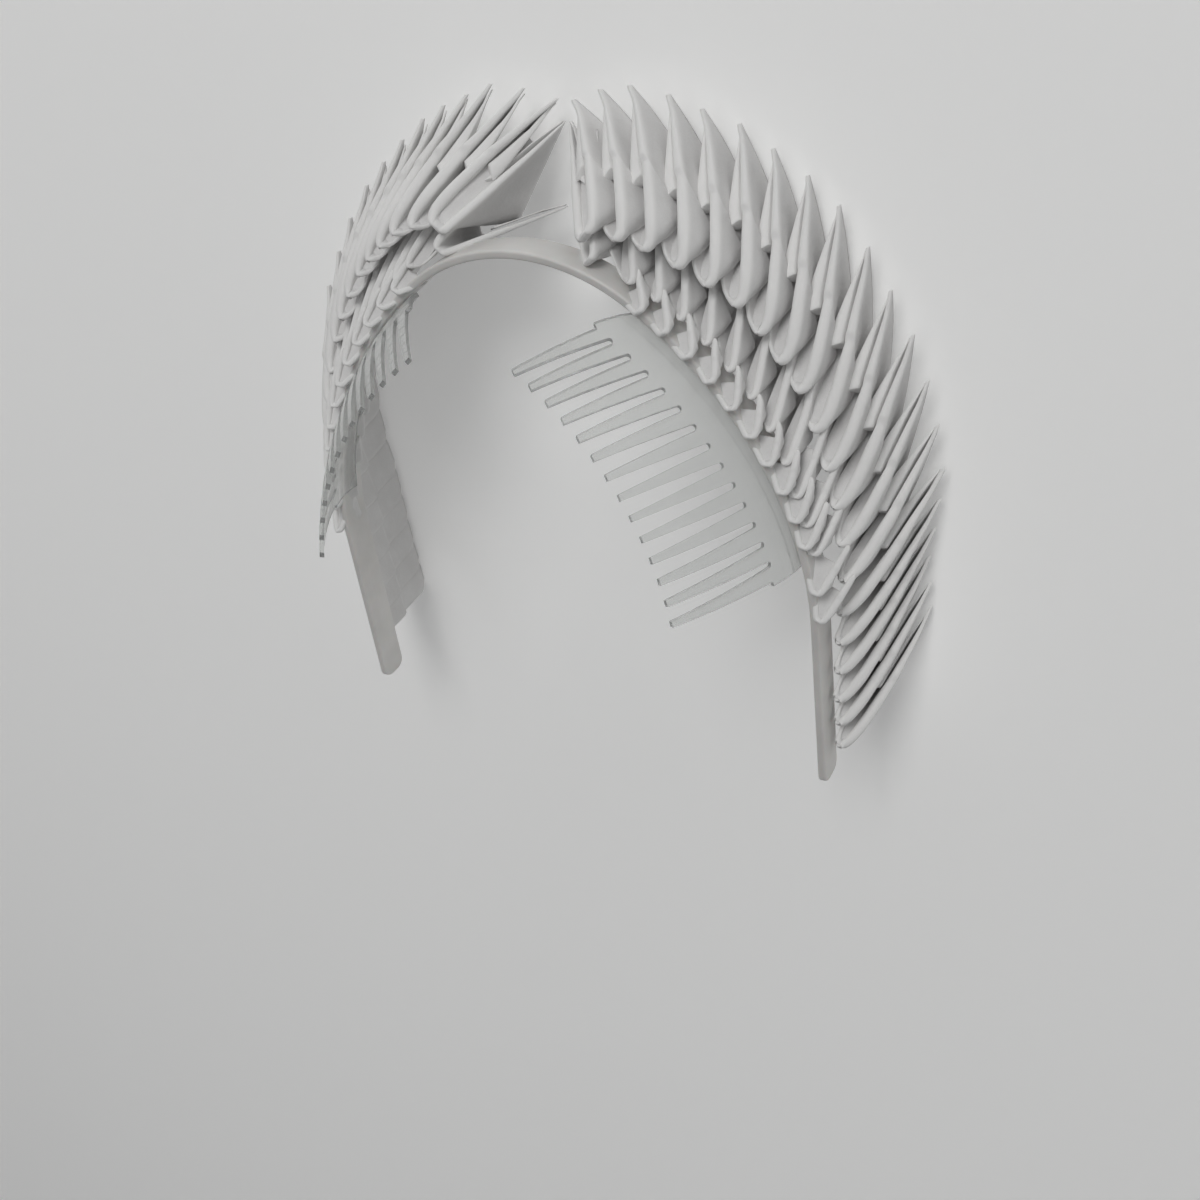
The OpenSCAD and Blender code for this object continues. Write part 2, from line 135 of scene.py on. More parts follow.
def noise(tree, scale, detail, stretch=None):
    """Noise over the piece's own coordinates, in cycles a metre; stretch scales it along each axis."""
    place = add_node(tree, "ShaderNodeTexCoord")
    out = place.outputs["Object"]
    if stretch:
        mapping = add_node(tree, "ShaderNodeMapping", Scale=stretch)
        tree.links.new(out, mapping.inputs["Vector"])
        out = mapping.outputs["Vector"]
    texture = add_node(tree, "ShaderNodeTexNoise", Scale=scale, Detail=detail, Roughness=NOISE_ROUGHNESS)
    tree.links.new(out, texture.inputs["Vector"])
    return texture.outputs["Fac"]


def ramp(tree, source, low, high):
    """Colours from low to high over the ramp's part of a value's range."""
    node = add_node(tree, "ShaderNodeValToRGB")
    first, last = node.color_ramp.elements
    first.position, first.color = RAMP_START, (*low, 1)
    last.position, last.color = RAMP_END, (*high, 1)
    tree.links.new(source, node.inputs["Fac"])
    return node.outputs["Color"]


def varied_roughness(tree, shader, source, low, high):
    """Roughness from low to high over a value from 0 to 1."""
    node = add_node(tree, "ShaderNodeMapRange")
    node.inputs["To Min"].default_value = low
    node.inputs["To Max"].default_value = high
    tree.links.new(source, node.inputs["Value"])
    tree.links.new(node.outputs["Result"], shader.inputs["Roughness"])


def bump(tree, shader, source, strength, distance, under=None):
    """Relief of a surface from a value, on top of the relief under it."""
    node = add_node(tree, "ShaderNodeBump", Strength=strength, Distance=distance)
    tree.links.new(source, node.inputs["Height"])
    if under:
        tree.links.new(under, node.inputs["Normal"])
    tree.links.new(node.outputs["Normal"], shader.inputs["Normal"])
    return node.outputs["Normal"]


def paper_material():
    """Soft white paper: faint clouding and fibres, a painted highlight along its folds, matt."""
    material, shader = new_material("folded_paper", (0.8, 0.79, 0.78), 0.88)
    tree = material.node_tree
    clouds = ramp(tree, noise(tree, 90, 4), low=(0.765, 0.757, 0.75), high=(0.835, 0.83, 0.825))
    fibres = ramp(tree, noise(tree, 2600, 2), low=(0.93, 0.93, 0.93), high=(1, 1, 1))
    fibrous = add_node(tree, "ShaderNodeMix", data_type="RGBA", blend_type="MULTIPLY")
    fibrous.inputs["Factor"].default_value = 0.6
    tree.links.new(clouds, fibrous.inputs["A"])
    tree.links.new(fibres, fibrous.inputs["B"])
    # Painted highlight: the paper is mixed to a lighter colour where the fold attribute is high, along the
    # rims and folds
    fold = add_node(tree, "ShaderNodeAttribute", attribute_name="fold")
    fold_highlight = add_node(tree, "ShaderNodeMix", data_type="RGBA", blend_type="MIX")
    fold_highlight.inputs["B"].default_value = (0.9, 0.895, 0.885, 1)
    tree.links.new(fold.outputs["Fac"], fold_highlight.inputs["Factor"])
    tree.links.new(fibrous.outputs["Result"], fold_highlight.inputs["A"])
    tree.links.new(fold_highlight.outputs["Result"], shader.inputs["Base Color"])
    shader.inputs["Sheen Weight"].default_value = 0.12
    shader.inputs["Sheen Roughness"].default_value = 0.6
    shader.inputs["Specular IOR Level"].default_value = 0.3
    waves = bump(tree, shader, noise(tree, 260, 3), strength=0.35, distance=0.0006)
    bump(tree, shader, noise(tree, 3200, 3), strength=0.3, distance=0.00008, under=waves)
    return material


def band_material():
    """Satin white plastic, with fine streaks along the band and a little clouding."""
    material, shader = new_material("satin_plastic", (0.75, 0.74, 0.72), 0.38)
    tree = material.node_tree
    clouds = ramp(tree, noise(tree, 60, 3), low=(0.7, 0.69, 0.67), high=(0.8, 0.79, 0.77))
    tree.links.new(clouds, shader.inputs["Base Color"])
    varied_roughness(tree, shader, noise(tree, 400, 3), low=0.3, high=0.5)
    shader.inputs["Subsurface Weight"].default_value = 0.08
    shader.inputs["Subsurface Scale"].default_value = 0.002
    bump(tree, shader, noise(tree, 300, 2, stretch=(0.2, 0.2, 6)), strength=0.2, distance=0.0003)
    return material


def clear_material():
    """Clear moulded plastic, slightly frosted by wear."""
    material, shader = new_material("clear_plastic", (0.93, 0.94, 0.93), 0.12)
    tree = material.node_tree
    shader.inputs["Transmission Weight"].default_value = 0.8
    shader.inputs["IOR"].default_value = 1.46
    varied_roughness(tree, shader, noise(tree, 500, 3), low=0.06, high=0.24)
    bump(tree, shader, noise(tree, 700, 2), strength=0.15, distance=0.0002)
    return material


PAPER = paper_material()
PLASTIC = band_material()
CLEAR = clear_material()


# The band's curve, as in the CAD source: an arc over the crown, a wider arc over each shoulder
# and a straight leg

BAND_WIDTH = 9.0
BAND_THICK = 2.2
CROWN_RADIUS = 47.5
CROWN_ANGLE = 35.0
SHOULDER_RADIUS = 98.0
LEG_LENGTH = 50.0
CROWN_ARC = CROWN_RADIUS * math.radians(CROWN_ANGLE)
SHOULDER_ARC = SHOULDER_RADIUS * math.radians(90 - CROWN_ANGLE)


def band_angle(arc):
    """How far the band has turned from level, at an arc length from the crown."""
    if arc < CROWN_ARC:
        return arc / CROWN_RADIUS
    if arc < CROWN_ARC + SHOULDER_ARC:
        return math.radians(CROWN_ANGLE) + (arc - CROWN_ARC) / SHOULDER_RADIUS
    return math.pi / 2


def band_normal(arc):
    """The way out of the band."""
    return Vector((math.sin(band_angle(arc)), 0, math.cos(band_angle(arc))))


def to_crown(arc):
    """The way along the band to the crown."""
    return Vector((-math.cos(band_angle(arc)), 0, math.sin(band_angle(arc))))


# Distance between the centres of the crown's arc and a shoulder's arc
CENTRES_APART = SHOULDER_RADIUS - CROWN_RADIUS
CROWN_CENTRE = Vector((0, 0, CENTRES_APART * math.cos(math.radians(CROWN_ANGLE))))
SHOULDER_CENTRE = CROWN_CENTRE - CENTRES_APART * band_normal(CROWN_ARC)


def band_inner(arc):
    """Point on the band's inner face at an arc length from the crown."""
    if arc < CROWN_ARC:
        return CROWN_CENTRE + CROWN_RADIUS * band_normal(arc)
    straight = max(0.0, arc - CROWN_ARC - SHOULDER_ARC)
    return SHOULDER_CENTRE + SHOULDER_RADIUS * band_normal(arc) - Vector((0, 0, straight))


# The units' places

OUTER_COUNT = 20
ROW_COUNT = 12
OUTER_LEAF = 43.6
MIDDLE_LEAF = 30.8
# Whole units in the middle row; those after them, and the inner row's, are small and stand open
MIDDLE_WHOLE = 9
# Columns of the tables below; the outer row's go on with the turns in place of the long edge
UNIT, ARC, RISE, FRONT, LEAF = range(5)
PLACE_COLUMNS = range(1, 7)
TURN_COLUMNS = range(4, 7)
# Outer row: unit, arc from the crown, rise off the band, distance in front of its back edge,
# lean, turn and roll in degrees
OUTER_STATIONS = (
    (0, 17.5, 8.5, 1, 72, 33, 26),
    (2, 28, 11, 2.5, 66, 38, 31),
    (5, 48, 12, 8, 63, 40, 35),
    (8, 69, 10.5, 8.5, 58, 39, 41),
    (11, 95, 6.5, 6.5, 55, 40, 39),
    (14, 122, 2.6, 5.3, 59.5, 38, 38),
    (17, 148, 1.7, 4, 63.5, 39, 32),
    (19, 163, 1.7, 4, 63.5, 37, 34),
)
# Middle and inner row: unit, arc, rise, distance in front, long edge of a page
MIDDLE_STATIONS = (
    (0, 19.5, 3, 1, MIDDLE_LEAF),
    (1, 29, 3, 1, MIDDLE_LEAF),
    (3, 42, 3, 2.8, MIDDLE_LEAF),
    (6, 64.5, 3, 3, MIDDLE_LEAF),
    (9, 88.5, 2.2, 0.5, 19),
    (11, 103, 1.7, 0, 16),
)
INNER_STATIONS = (
    (0, 34.5, 1.1, -2.3, 10),
    (1, 41.5, 1.1, -2.3, 10),
    (3, 56, 1.1, -2.5, 10),
    (5, 71, 1.1, -2.5, 10),
    (8, 93, 1.1, -2.5, 11),
    (9, 100, 1.1, -2.3, 12),
    (10, 112.5, 1.1, -2, 14),
    (11, 120, 1.1, -2, 14),
)


def lookup(rows, key, column, by=0):
    """Value of a column between the rows whose values in column by a key lies between."""
    if key <= rows[0][by]:
        return rows[0][column]
    for low, high in zip(rows, rows[1:]):
        if key <= high[by]:
            share = (key - low[by]) / (high[by] - low[by])
            return low[column] + share * (high[column] - low[column])
    return rows[-1][column]


class Page:
    """A page's frame: bottom point, directions to the tip and into the page, spine, width and facing."""

    def __init__(self, bottom, tip, depth):
        self.bottom = bottom
        self.tip = tip
        self.depth = depth
        self.spine = (tip + depth).normalized()
        self.width = (tip - depth).normalized()
        self.facing = tip.cross(depth)


def rolled(tip, depth, angle):
    """A depth made square to the tip's direction and turned about it."""
    square = (depth - tip * tip.dot(depth)).normalized()
    return square * math.cos(angle) + tip.cross(square) * math.sin(angle)


def band_page(arc, rise, front, lean, turn, roll):
    """The right page of a unit at a place on the band."""
    lean, turn, roll = (math.radians(angle) for angle in (lean, turn, roll))
    out, up = band_normal(arc), to_crown(arc)
    tip = out * math.cos(lean) * math.cos(turn) + up * math.sin(turn)
    tip += Vector((0, math.sin(lean) * math.cos(turn), 0))
    bottom = band_inner(arc) + out * (BAND_THICK + rise) + Vector((0, front, 0))
    return Page(bottom, tip, rolled(tip, -up, roll))


# Where a free page's bottom is beside the right page's: towards the crown, and up the page
FREE_BESIDE = 2.6
FREE_UP = 0.8


class FreePage(Page):
    """A left page that stands free, with its tip at a point and rolled about its edge."""

    def __init__(self, page, size, point, roll):
        bottom = page.bottom + page.facing * FREE_BESIDE * size + page.width * FREE_UP * size
        self.leaf = (point - bottom).length
        tip = (point - bottom).normalized()
        super().__init__(bottom, tip, rolled(tip, page.depth, math.radians(roll)))


def outer_page(k):
    return band_page(*(lookup(OUTER_STATIONS, k, column) for column in PLACE_COLUMNS))


def lower_page(stations, m):
    """The page of a middle or inner unit, turned as the outer row is at its arc."""
    arc = lookup(stations, m, ARC)
    k = lookup(OUTER_STATIONS, arc, UNIT, by=ARC)
    turns = (lookup(OUTER_STATIONS, k, column) for column in TURN_COLUMNS)
    return band_page(arc, lookup(stations, m, RISE), lookup(stations, m, FRONT), *turns)


# Folded paper in mesh code


class Mesh:
    """Vertices in the worn frame, faces, and how close each vertex is to a fold."""

    def __init__(self):
        self.points = []
        self.fold = []
        self.faces = []

    def ring(self, points, folds):
        """Adds the points of one ring and gives their numbers."""
        start = len(self.points)
        self.points.extend(points)
        self.fold.extend(folds)
        return list(range(start, len(self.points)))

    def bridge(self, first, second):
        """Faces between two rings of as many points."""
        count = len(first)
        for i in range(count):
            j = (i + 1) % count
            self.faces.append((first[i], first[j], second[j], second[i]))

    def loft(self, rings, onward):
        """Joins rings and closes the ends; onward is the way from the first ring to the last."""
        first = [self.points[i] for i in rings[0]]
        area = Vector()
        for a, b in zip(first, first[1:] + first[:1]):
            area += a.cross(b)
        if area.dot(onward) < 0:
            rings = [ring[::-1] for ring in rings]
        for a, b in zip(rings, rings[1:]):
            self.bridge(a, b)
        self.faces.append(tuple(rings[0][::-1]))
        self.faces.append(tuple(rings[-1]))

    def build(self, name, side, material, slot, node):
        """The piece on the right, or mirrored on the left, in place of a node's solid."""
        mesh = bpy.data.meshes.new(name)
        flip = Vector((side, 1, 1))
        mesh.from_pydata([to_rest(p * flip) for p in self.points], [], self.faces)
        mesh.validate()
        attribute = mesh.attributes.new("fold", "FLOAT", "POINT")
        attribute.data.foreach_set("value", self.fold)
        if side == LEFT:
            mesh.flip_normals()
        mesh.shade_smooth()
        mesh.materials.append(material)
        piece = bpy.data.objects.new(name, mesh)
        bpy.context.scene.collection.objects.link(piece)
        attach(piece, "root")
        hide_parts(node)


# Points round a strip's rim, and points less one round a path's corner
RIM_STEPS = 5
BEND_STEPS = 6


def strip_ring(centres, normals, above, below, bulge=1.0):
    """Closed section of a bent strip: its sides, a round rim and a rim that stands out by bulge."""
    last = len(centres) - 1
    end = (centres[last] - centres[last - 1]).normalized()
    start = (centres[0] - centres[1]).normalized()
    points = [c + n * h for c, n, h in zip(centres, normals, above)]
    points += rim(centres[last], end, normals[last], above[last], below[last])
    points += [centres[j] - normals[j] * below[j] for j in range(last, -1, -1)]
    points += rim(centres[0], start * bulge, -normals[0], below[0], above[0])
    return points


def rim(centre, outward, normal, first, second):
    """Points round the end of a strip, from its one side to the other."""
    middle = centre + normal * (first - second) / 2
    half = (first + second) / 2
    turned = (math.pi * i / (RIM_STEPS + 1) for i in range(1, RIM_STEPS + 1))
    return [middle + (outward * math.sin(a) + normal * math.cos(a)) * half for a in turned]


def rounded_path(corners, radii):
    """Points of a polyline with each inner corner rounded by a quadratic curve."""
    path = [corners[0]]
    for before, corner, after, radius in zip(corners, corners[1:], corners[2:], radii):
        start = corner + (before - corner).normalized() * min(radius, (before - corner).length * 0.5)
        end = corner + (after - corner).normalized() * min(radius, (after - corner).length * 0.5)
        for i in range(BEND_STEPS + 1):
            t = i / BEND_STEPS
            path.append(start * (1 - t) ** 2 + corner * 2 * t * (1 - t) + end * t**2)
    path.append(corners[-1])
    return path


class Path:
    """A polyline by the distance along it."""

    def __init__(self, points):
        self.points = points
        self.lengths = [0.0]
        for a, b in zip(points, points[1:]):
            self.lengths.append(self.lengths[-1] + (b - a).length)

    def at(self, distance):
        d = min(max(distance, 0.0), self.lengths[-1])
        i = bisect.bisect_right(self.lengths, d, 1, len(self.points) - 1) - 1
        span = max(self.lengths[i + 1] - self.lengths[i], 1e-9)
        return self.points[i].lerp(self.points[i + 1], (d - self.lengths[i]) / span)

    def nearest(self, point):
        """Distance along the path of its point closest to a point."""
        best = (1e9, 0.0)
        for a, b, length in zip(self.points, self.points[1:], self.lengths):
            step = b - a
            t = min(1.0, max(0.0, (point - a).dot(step) / max(step.length_squared, 1e-12)))
            best = min(best, ((point - a - step * t).length, length + step.length * t))
        return best[1]


def smooth(t):
    """Soft step from 0 to 1."""
    t = min(1.0, max(0.0, t))
    return t * t * (3 - 2 * t)


# The lengths that follow are in mm for an outer unit, and a row's size scales most of them
PAGE_TIP = 0.22


class Row:
    """What a row's units share: a page's long edge, size beside an outer unit's, bow, share of the
    gap to the unit before that the mouth takes, depth of the slit beside the right page, share of
    the thickness that a page has at its tip, and the height of a page over its spine."""

    def __init__(self, leaf, size, bow, mouth, slit, tip=PAGE_TIP):
        self.leaf = leaf
        self.size = size
        self.bow = bow
        self.mouth = mouth
        self.slit = slit
        self.tip = tip
        self.height = leaf / math.sqrt(2)


# Share of the gap that an outer unit's mouth takes, by its number
OUTER_MOUTHS = ((9, 0.87), (13, 0.4))
OUTER_BOW = 1.9
MIDDLE = Row(MIDDLE_LEAF, size=0.72, bow=0.8, mouth=0.62, slit=2.4)
SMALL_SIZE = 0.62
SMALL_TIP = 0.7
SMALL_BOW = 0.3
SMALL_SLIT = 1.2


def outer_row(k):
    return Row(OUTER_LEAF, size=1.0, bow=OUTER_BOW, mouth=lookup(OUTER_MOUTHS, k, 1), slit=1.0)


RINGS = 26
# Rings lie closer together at the spine's bottom
RING_SPREAD = 1.3
FIRST_RING = 0.02
# Share of the spine's length that a page's pocket layer covers, and the rings at the layer's edge
LAYER_SHARE = 0.52
LAYER_CLEAR = 0.7
LAYER_RINGS = (-0.6, -0.25, 0.05, 0.3, 0.6)


def ring_places(row):
    """Distances along a unit's spine of its rings, closer together at the pocket layer's edge."""
    places = [max(FIRST_RING, row.height * (i / RINGS) ** RING_SPREAD) for i in range(RINGS + 1)]
    edge = LAYER_SHARE * row.height
    places = [p for p in places if abs(p - edge) > LAYER_CLEAR * row.size]
    return sorted(places + [edge + row.size * d for d in LAYER_RINGS])


# The bend between a unit's spine and its left page: the page's least distance, the bend's top,
# its corner and its foot
LEAST_WALL = 1.6
WALL_TOP = 3
WALL_TOP_SHARE = 0.6
BEND_SHARE = 0.72
BEND_HEIGHT = 1.1
BEND_FOOT_SHARE = 0.3


def left_wall(row, gap):
    """How far a unit's left page stands from its spine, at a distance between two units' spines."""
    return max(LEAST_WALL * row.size, gap * row.mouth)


def wall_corners(row, wall):
    """Corners of the bend between a unit's spine and its left page: distance from the spine, height."""
    return (
        (wall, max(WALL_TOP * row.size, WALL_TOP_SHARE * wall)),
        (BEND_SHARE * wall, BEND_HEIGHT * row.size),
        (BEND_FOOT_SHARE * wall, 0),
    )


LEFT_POINTS = 12
RIGHT_POINTS = 15
# How far a page leans, and how much a unit's thickness and bow vary
LEAN = 0.5
THICK_RANGE = (0.94, 1.06)
BOW_RANGE = (0.92, 1.08)
# How far a page bows out, by the share of its width from the spine to the tip
BOW_CURVE = ((0, 1.0), (0.16, 1.05), (0.42, 1.1), (0.74, 0.6), (1, 0.0))
FOOT_BOW = 0.55
# The bow flattens by this share along the spine, away from the page's edge
BOW_FLAT = 0.45
FLAT_START = 3
FLAT_LENGTH = 12
# The page's foot above the spine, and its lift where its corner is rounded and past the pocket layer
PAGE_FOOT = 0.5
CORNER_LIFT = 2.2
CORNER_ROUND = 5.0
CORNER_POWER = 1.5
LAYER_LIFT = 1.1
LAYER_EDGE = 0.3
# Share of the page's height over which the lift fades
LIFT_SHARE = 0.4
# The slip of the left page in the pocket of the unit before: its clearance and its reach
SLIP_CLEAR = 0.3
SLIP_UP = 3.5
SLIP_DOWN = 0.3
# Radii of the corners: a slipped left page, a free one, and the right page after either
WALL_RADII = (1.5, 2.2, 2.4, 2.4)
FREE_RADII = (2.6,)
PAGE_RADII = (2.2, 2.8, 4, 5)
# The rounded bottom of a unit, its rounded end and its edges, which are set back from the paper's
NOSE = 1.5
NOSE_REACH = 0.4
END_ROUND = 1.0
END_LEAST = 0.02
EDGE_INSET = 0.9
END_INSET = 0.25
END_INSET_LENGTH = 12
LEFT_RIM_SLOPE = 1.6
LEAST_REACH = 0.05
# A page has its whole thickness at this distance from its tip
TAPER_LENGTH = 24
# Outer half thickness of the right page, and what its ridge or layer and its mouth add to it
SHEET_HALF = 0.65
RIDGE_HALF = 0.85
RIDGE_WIDTH = 5
RIDGE_EDGE = 1.15
LAYER_WIDTH = 3
MOUTH_HALF = 0.7
MOUTH_WIDTH = 5
MOUTH_LENGTH = 10
# Inner half thickness of the right page, and what it gains away from the spine
INNER_HALF = 0.7
INNER_MORE = 0.5
INNER_WIDTH = 6
# Half thickness of a slipped left page, and what it gains towards the spine
WALL_HALF = 0.42
WALL_MORE = 0.4
WALL_WIDTH = 3
# Half thickness of a free left page, and what its ridge adds on each side
FREE_HALF = 0.6
FREE_INNER_RIDGE = 0.3
FREE_OUTER_RIDGE = 0.7
# The paper turns from the free page's spine to the right page's over this share of the way along
FREE_SPREAD = 0.3
# Width of the painted highlight along the right and the left rim
RIGHT_LINE = 1.1
LEFT_LINE = 0.9


class Unit:
    """A unit bent round its spine: its right page, and its left page up to the pocket before it."""

    def __init__(self, page, before, row, bow, rng, free=None):
        self.page = page
        self.before = before
        self.row = row
        self.size = row.size
        self.bow = bow
        self.free = free
        self.lean = rng.uniform(-LEAN, LEAN)
        self.thick = rng.uniform(*THICK_RANGE)

    def past_layer(self, along):
        """0 on the pocket layer and 1 past it."""
        edge = LAYER_EDGE * self.size
        return smooth((along - LAYER_SHARE * self.row.height + edge) / (2 * edge))

    def section(self, along, root):
        """The middle line of the unit's paper, square to a point of its spine."""
        page, row, size, bow = self.page, self.row, self.size, self.bow
        height = row.height
        rounding = smooth((along - height + CORNER_ROUND) / CORNER_ROUND) ** CORNER_POWER
        corner = CORNER_LIFT * size * rounding + LAYER_LIFT * size * self.past_layer(along)

        def place(n, w):
            """Point at n towards the crown and w up the page."""
            lift = corner * max(0.0, 1 - w / (LIFT_SHARE * height))
            return root + page.facing * n + page.width * (w + PAGE_FOOT * size + lift)

        if self.before:
            before = self.before
            spine_point = before.bottom + before.spine * (root - before.bottom).dot(before.spine)
            gap = (spine_point - root).dot(page.facing)
            rise = (spine_point - root).dot(page.width)
            slip = gap - SLIP_CLEAR * size
            corners = [place(slip, rise + SLIP_UP * size), place(slip, rise - SLIP_DOWN)]
            corners += [place(n, w) for n, w in wall_corners(row, left_wall(row, gap))]
            radii = WALL_RADII
        else:
            free = self.free
            low = free.bottom + free.spine * along * (free.leaf / row.leaf)
            corners = [free.bottom + free.tip * free.leaf * along / height, low]
            radii = FREE_RADII
        corners.append(place(-FOOT_BOW * bow, 0))
        for share, out in BOW_CURVE[1:-1]:
            flat = 1 - BOW_FLAT * smooth((along - height * share - FLAT_START) / FLAT_LENGTH)
            corners.append(place(-bow * out * flat, height * share))
        corners.append(place(self.lean, height))
        return Path(rounded_path(corners, [radius * size for radius in radii + PAGE_RADII]))

    def nose(self, along):
        """Share of the whole thickness at the rounded bottom and end of the unit."""
        close = max(0.0, 1 - (self.row.height - along) / END_ROUND)
        start = math.sqrt(min(1.0, along / (NOSE * self.size)))
        return start * math.sqrt(max(END_LEAST, 1 - close * close))

    def reaches(self, along, middle):
        """How far the left and the right page reach from the spine along the section."""
        size = self.size
        inset = EDGE_INSET * size * min(1.0, along / (NOSE * size))
        inset *= min(1.0, END_INSET + (self.row.height - along) / (END_INSET_LENGTH * size))
        right = max(NOSE_REACH * self.nose(along) * size, along - inset)
        if self.before:
            return min(middle, LEFT_RIM_SLOPE * right), right
        return max(LEAST_REACH, middle - inset), right

    def halves(self, q, along, left, right):
        """Half thicknesses of the paper's inner and outer side, at q from the spine."""
        size = self.size
        nose = self.nose(along)
        from_tip = self.row.height - along + (right - q if q > 0 or self.before else left + q)
        taper = min(1.0, self.row.tip + from_tip / (TAPER_LENGTH * size)) * nose * size * self.thick
        if q > 0:
            mouth = math.exp(-((q / (MOUTH_WIDTH * size)) ** 2)) * smooth(along / (MOUTH_LENGTH * size))
            ridge = smooth(RIDGE_EDGE - (right - q) / (RIDGE_WIDTH * size))
            layer = (1 - self.past_layer(along)) * smooth((q + size) / (LAYER_WIDTH * size))
            inner = INNER_HALF + INNER_MORE * smooth(q / (INNER_WIDTH * size))
            outer = SHEET_HALF + RIDGE_HALF * max(ridge, layer) + MOUTH_HALF * mouth
            return taper * inner, taper * outer
        if self.before:
            wall = (WALL_HALF + WALL_MORE * smooth(1 + q / (WALL_WIDTH * size))) * nose * size
            return wall, wall
        ridge = smooth(RIDGE_EDGE - (left + q) / (RIDGE_WIDTH * size))
        inner, outer = FREE_HALF + FREE_INNER_RIDGE * ridge, FREE_HALF + FREE_OUTER_RIDGE * ridge
        return taper * inner, taper * outer

    def normals(self, centres, places, along):
        """Directions square to the paper at the centres; places are their distances from the spine."""
        last = len(centres) - 1
        normals = []
        for j, q in enumerate(places):
            axis = self.page.spine
            if self.free:
                axis = self.free.spine.lerp(axis, smooth(1 + q / (FREE_SPREAD * along + 1)))
            step = centres[min(j + 1, last)] - centres[max(j - 1, 0)]
            normals.append(axis.cross(step).normalized())
        if normals[last].dot(self.page.facing) < 0:
            return [-n for n in normals]
        return normals

    def build(self, mesh):
        rings = []
        for along in ring_places(self.row):
            root = self.page.bottom + self.page.spine * along
            path = self.section(along, root)
            middle = path.nearest(root)
            left, right = self.reaches(along, middle)
            places = [-left * (1 - j / LEFT_POINTS) for j in range(LEFT_POINTS)]
            places += [right * j / (RIGHT_POINTS - 1) for j in range(RIGHT_POINTS)]
            centres = [path.at(middle + q) for q in places]
            inner, outer = zip(*(self.halves(q, along, left, right) for q in places))
            points = strip_ring(centres, self.normals(centres, places, along), inner, outer)
            # Painted highlight: fold is 1 on the rims and fades from the right and the left rim into the
            # page
            fold = []
            for q in places:
                right_line = math.exp(-(((q - places[-1]) / RIGHT_LINE) ** 2))
                fold.append(max(right_line, math.exp(-(((q - places[0]) / LEFT_LINE) ** 2))))
            rings.append(mesh.ring(points, fold + [1.0] * RIM_STEPS + fold[::-1] + [1.0] * RIM_STEPS))
        mesh.loft(rings, self.page.spine)


# The floor between a unit's pages: half its thickness, where it starts up the page, its end as a
# share of its level, its distance from the unit's bottom, its sag and how far it sinks
FLOOR_RINGS = 14
FLOOR_POINTS = 9
FLOOR_HALF = 0.3
FLOOR_START = 0.9
FLOOR_END = 1.5
FLOOR_BACK = 1.1
FLOOR_SAG = 0.4
FLOOR_SINK = 1.6
# How far it stays clear of the right page and of the bend
FLOOR_CLEAR = 0.3
FLOOR_IN_BEND = 0.5


def pocket_floor(mesh, page, beside, row, bow):
    """The floor of a unit that is slipped into the unit before: it sinks to that one's pocket layer."""
    inset = FLOOR_IN_BEND * row.size
    level, gap = beside.dot(page.width), beside.dot(page.facing)
    deep = LAYER_SHARE * row.height - level
    bend = [(w + inset, n - inset) for n, w in reversed(wall_corners(row, left_wall(row, gap)))]
    floor_mesh(mesh, page, row, bow, level, deep, bend)


def floor_mesh(mesh, page, row, bow, level, deep, bend):
    """The shallow floor between a unit's two pages; bend is the left page's distance, by height."""
    size = row.size
    start = FLOOR_START * size
    rings = []
    for i in range(FLOOR_RINGS + 1):
        w = start + (level * FLOOR_END - start) * i / FLOOR_RINGS
        back = FLOOR_BACK * size + deep * min(FLOOR_SINK, (w / level) ** 2)
        slope = 1 + 2 * deep * w / level**2
        normal = (page.width * slope - page.spine).normalized()
        points = []
        for j in range(FLOOR_POINTS):
            across = j / (FLOOR_POINTS - 1)
            n = (FLOOR_CLEAR * size - bow) * (1 - across) + lookup(bend, w, 1) * across
            sag = FLOOR_SAG * size * math.sin(math.pi * across) + row.slit * size * (1 - across) ** 2
            points.append(page.bottom + page.spine * (w + back + sag) + page.width * w + page.facing * n)
        halves = [FLOOR_HALF * size] * FLOOR_POINTS
        ring = strip_ring(points, [normal] * FLOOR_POINTS, halves, halves)
        rings.append(mesh.ring(ring, [0.0] * len(ring)))
    mesh.loft(rings, page.width)


# The tail flap: its rings, those of its rounded start, and its start and end on the page's long edge
FLAP_POINTS = 7
FLAP_RINGS = 16
FLAP_CAP = (0, 0.08, 0.3, 0.6, 1)
FLAP_CAP_LENGTH = 0.3
FLAP_CAP_LEAST = 0.02
FLAP_START = (0.4, 0.44)
FLAP_END = 0.985
# How far it stands off the page, the share of this with no room, and the slit between them
FLAP_STAND = 3.0
FLAP_STAND_RANGE = (0.92, 1.08)
FLAP_STAND_SHARE = 0.35
FLAP_STAND_POWER = 0.75
FLAP_SLIT = 0.25
FLAP_SLIT_MORE = 0.2
FLAP_SLIT_SHARE = 0.3
FLAP_BASE = 1.2
# Its thickness: what it has at least, and the share that it loses into the page
FLAP_LOW = 0.1
FLAP_LEAST = 0.3
FLAP_LEAST_HALF = 0.12
FLAP_THINS = 0.75
# Its distance from the page's edge, how it widens into the page, its slant and how its rim bulges
FLAP_EDGE = 0.3
FLAP_WIDENS = 2.5
FLAP_SLANT = 0.75
FLAP_SLANT_LENGTH = 6
FLAP_BULGE = 0.4
# Points over which its painted highlight fades, and how strong the painted highlight on its inner rim is
FLAP_LINE = 1.5
FLAP_RIM_FOLD = 0.2


